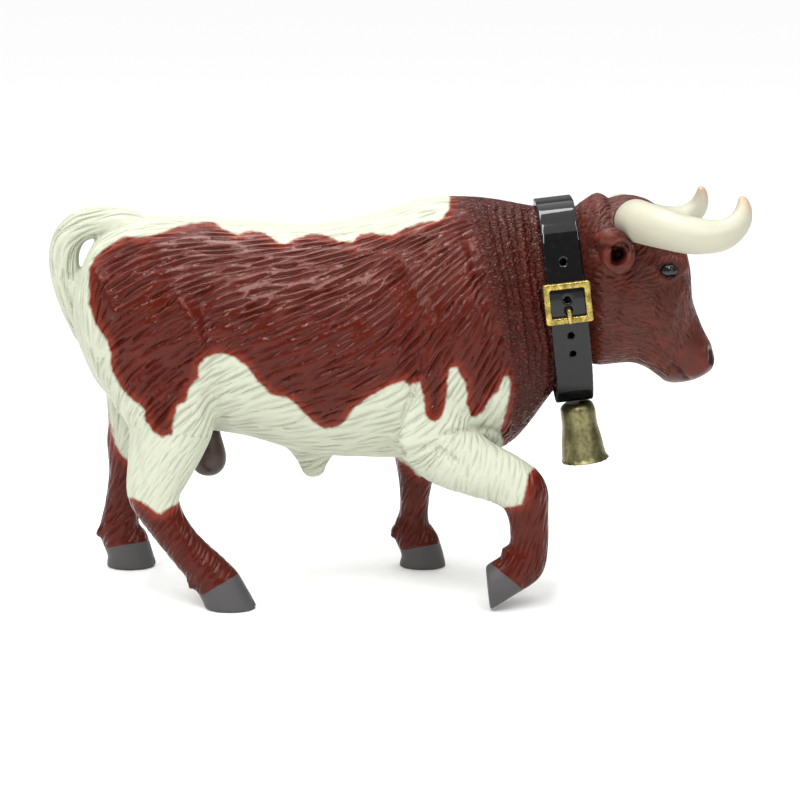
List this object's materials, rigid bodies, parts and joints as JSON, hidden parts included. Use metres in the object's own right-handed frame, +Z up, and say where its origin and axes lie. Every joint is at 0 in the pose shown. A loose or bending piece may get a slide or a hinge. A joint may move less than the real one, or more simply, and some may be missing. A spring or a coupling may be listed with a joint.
{
  "type": "bull figurine",
  "caption": "Walking horned bull figurine with plugged-in head, legs, horns and tail, a buckled neck strap and a small bell that hangs and swings from it.",
  "frame": {"origin": "middle of the bounding box at ground level", "axes": "+X towards the nose, +Y to the animal's left, +Z up"},
  "size_m": [0.1504, 0.0704, 0.093],
  "materials": {
    "hide": "glossy painted, red-brown and white",
    "face": "satin painted, red-brown",
    "leg": "glossy painted, white, red-brown and grey hooves",
    "tail": "satin white",
    "skin": "satin dark brown",
    "horn": "satin ivory with browner tips",
    "strap": "gloss black",
    "buckle": "gold",
    "bell": "antique brass",
    "steel": "plain pin"
  },
  "bodies": {
    "figure": {"torso": "hide", "head": "face", "right_horn": "horn", "left_horn": "horn", "right_foreleg": "leg", "left_foreleg": "leg", "right_hind_leg": "leg", "left_hind_leg": "leg", "tail": "tail", "scrotum": "skin", "collar_strap": "strap", "buckle_frame": "buckle", "buckle_prong": "buckle", "bell_pin": "steel"},
    "bell": {"bell_shell": "bell", "clapper_pin": "steel"},
    "clapper": {"bell_clapper": "bell"}
  },
  "joints": [
    {"name": "bell_swing", "type": "hinge", "parent": "figure", "child": "bell", "pos_m": [0.04341, -0.00015, 0.04559], "axis": [0, 1, 0], "range_deg": [-6, 6]},
    {"name": "clapper_swing", "type": "hinge", "parent": "bell", "child": "clapper", "pos_m": [0.04278, -0.00015, 0.04037], "axis": [0, 1, 0], "range_deg": [-10, 10]}
  ]
}
